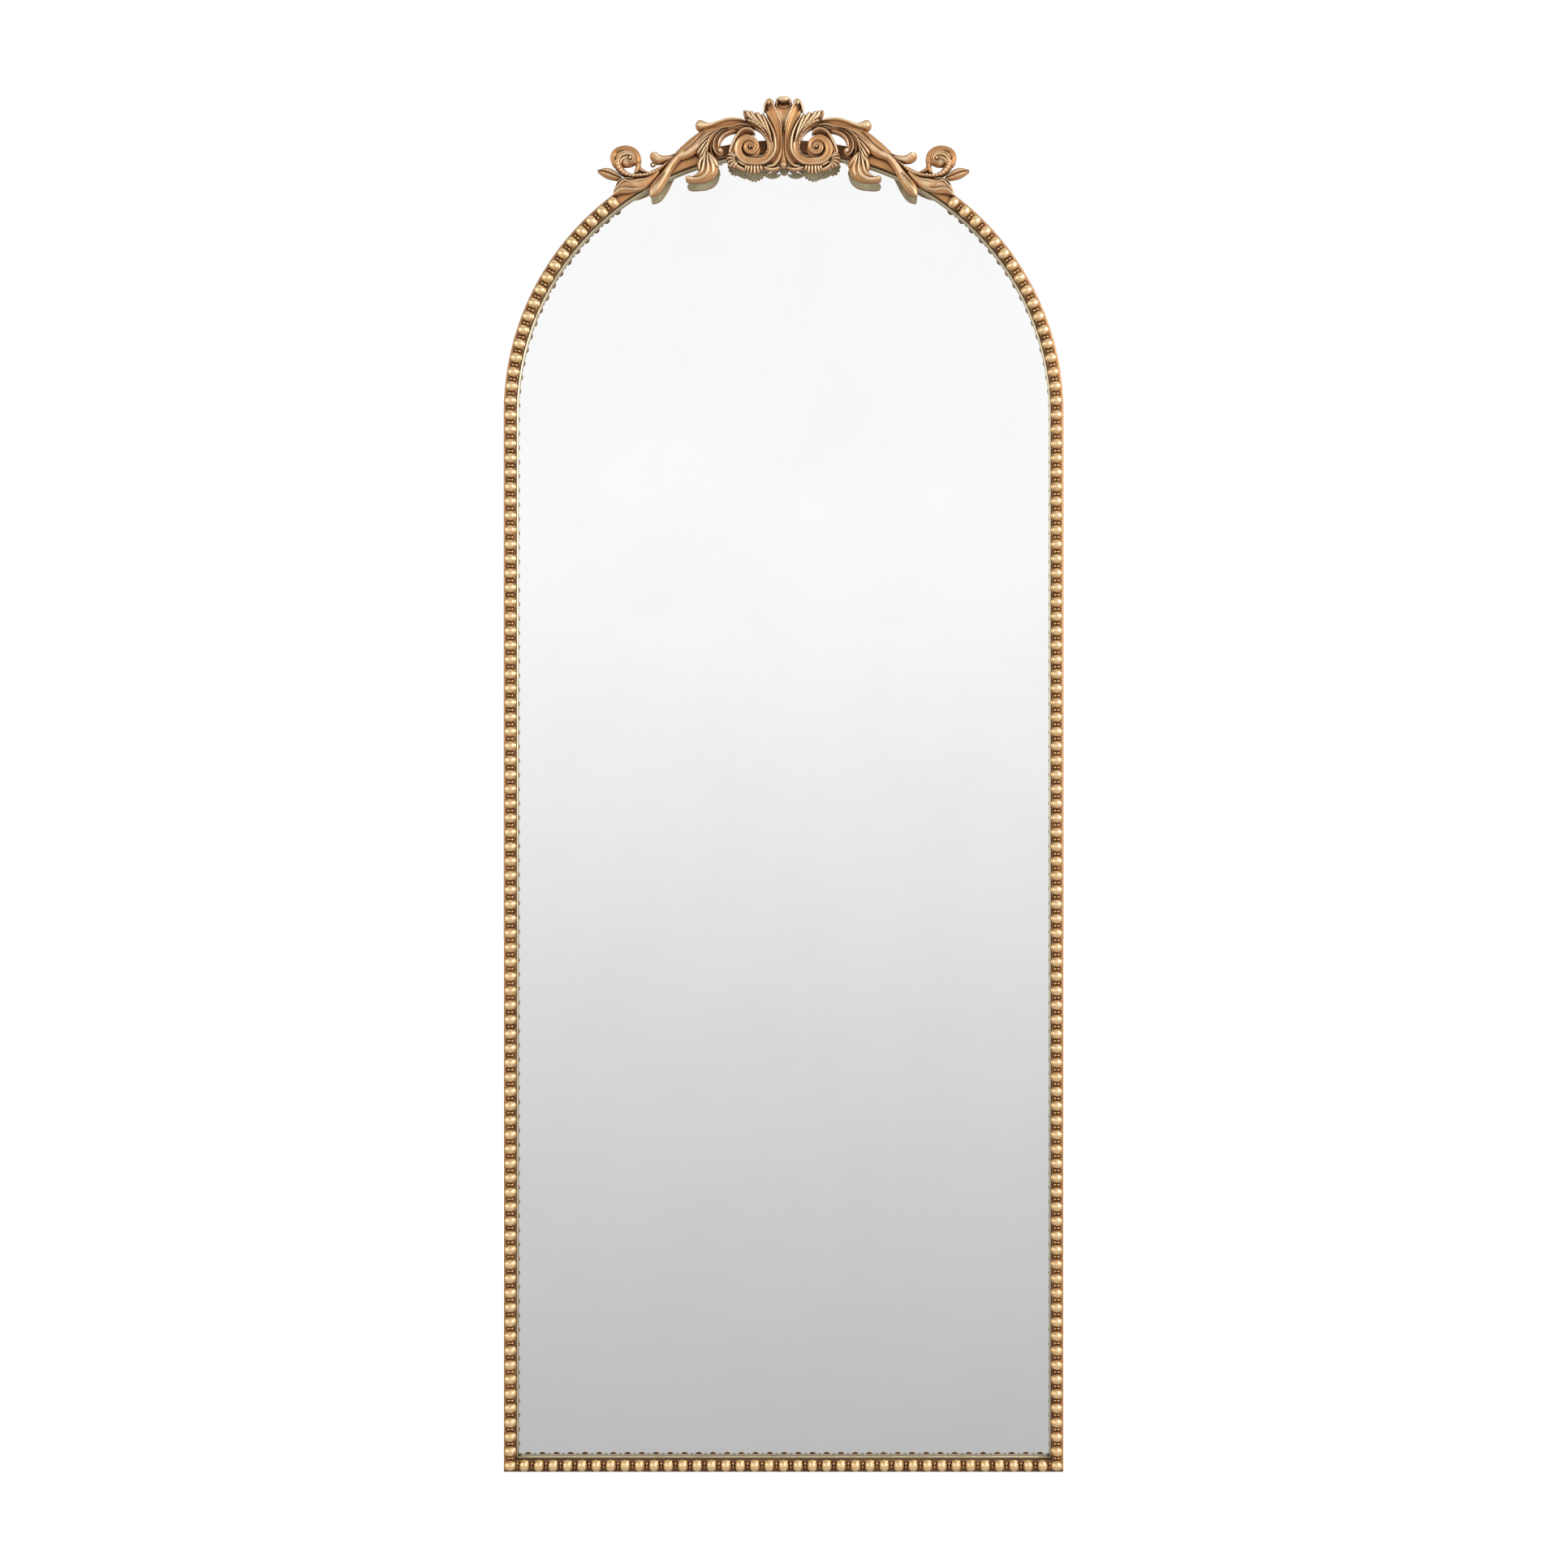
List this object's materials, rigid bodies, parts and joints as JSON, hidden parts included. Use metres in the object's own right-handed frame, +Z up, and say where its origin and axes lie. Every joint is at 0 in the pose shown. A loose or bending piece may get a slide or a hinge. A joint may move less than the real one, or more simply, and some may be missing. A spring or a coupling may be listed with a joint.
{
  "type": "leaning floor mirror",
  "caption": "Full-length arched mirror in a gilt beaded frame with a pierced acanthus crest, a backing board and swinging hanger rings; stands on its bottom rail against a wall.",
  "frame": {"origin": "on the floor, in the middle of the bottom rail's underside, halfway between the face and the back of the frame", "axes": "+X to the right seen from the front, the glass faces -Y, +Z up along the height"},
  "size_m": [0.66, 0.0459, 1.6195],
  "materials": {
    "gilt_timber": "antique copper-gold leaf over a timber moulding, satin",
    "champagne_slip": "champagne-silver leaf, polished",
    "gilt_beads": "cast composition, pale gold leaf, satin gloss",
    "gilt_crest": "cast composition, antique gold leaf with dark patina in the hollows",
    "silvered_glass": "silvered behind, polished",
    "backing": "plain board, matt",
    "brass": "dull brass",
    "steel": "zinc plated",
    "rubber": "matt"
  },
  "bodies": {
    "frame": {"bottom_rail": "gilt_timber", "stile_right": "gilt_timber", "stile_left": "gilt_timber", "arch_shoulder_right": "gilt_timber", "arch_shoulder_left": "gilt_timber", "arch_crown_right": "gilt_timber", "arch_crown_left": "gilt_timber", "mirror_glass": "silvered_glass", "backing_board": "backing", "slip_bottom": "champagne_slip", "slip_right": "champagne_slip", "slip_left": "champagne_slip", "slip_arch_right": "champagne_slip", "slip_arch_left": "champagne_slip", "beads_bottom": "gilt_beads", "beads_right": "gilt_beads", "beads_left": "gilt_beads", "beads_arch_right": "gilt_beads", "beads_arch_left": "gilt_beads", "finial": "gilt_crest", "base_pearl": "gilt_crest", "centre_stalk": "gilt_crest", "curl_leaf_right": "gilt_crest", "curl_leaf_left": "gilt_crest", "droop_leaf_right": "gilt_crest", "droop_leaf_left": "gilt_crest", "bud_right": "gilt_crest", "bud_left": "gilt_crest", "volute_right": "gilt_crest", "volute_left": "gilt_crest", "inner_lobe_right": "gilt_crest", "inner_lobe_left": "gilt_crest", "side_leaf_right": "gilt_crest", "side_leaf_left": "gilt_crest", "horn_right": "gilt_crest", "horn_left": "gilt_crest", "hook_leaf_right": "gilt_crest", "hook_leaf_left": "gilt_crest", "end_scroll_right": "gilt_crest", "end_scroll_left": "gilt_crest", "lower_leaf_right": "gilt_crest", "lower_leaf_left": "gilt_crest", "end_leaf_right": "gilt_crest", "end_leaf_left": "gilt_crest", "branch_right": "gilt_crest", "branch_left": "gilt_crest", "fringe_right": "gilt_crest", "fringe_left": "gilt_crest", "screw_eye": "brass", "hanger_plate_right": "steel", "hanger_plate_left": "steel", "hanger_screw_upper_right": "steel", "hanger_screw_upper_left": "steel", "hanger_screw_lower_right": "steel", "hanger_screw_lower_left": "steel", "bumper_right": "rubber", "bumper_left": "rubber"},
    "hanger_ring_right": {"hanger_ring_right": "steel"},
    "hanger_ring_left": {"hanger_ring_left": "steel"}
  },
  "joints": [
    {"name": "ring_right_swing", "type": "hinge", "parent": "frame", "child": "hanger_ring_right", "pos_m": [0.215, 0.012, 1.18], "axis": [1, 0, 0], "range_deg": [0, 180]},
    {"name": "ring_left_swing", "type": "hinge", "parent": "frame", "child": "hanger_ring_left", "pos_m": [-0.215, 0.012, 1.18], "axis": [1, 0, 0], "range_deg": [0, 180]}
  ]
}
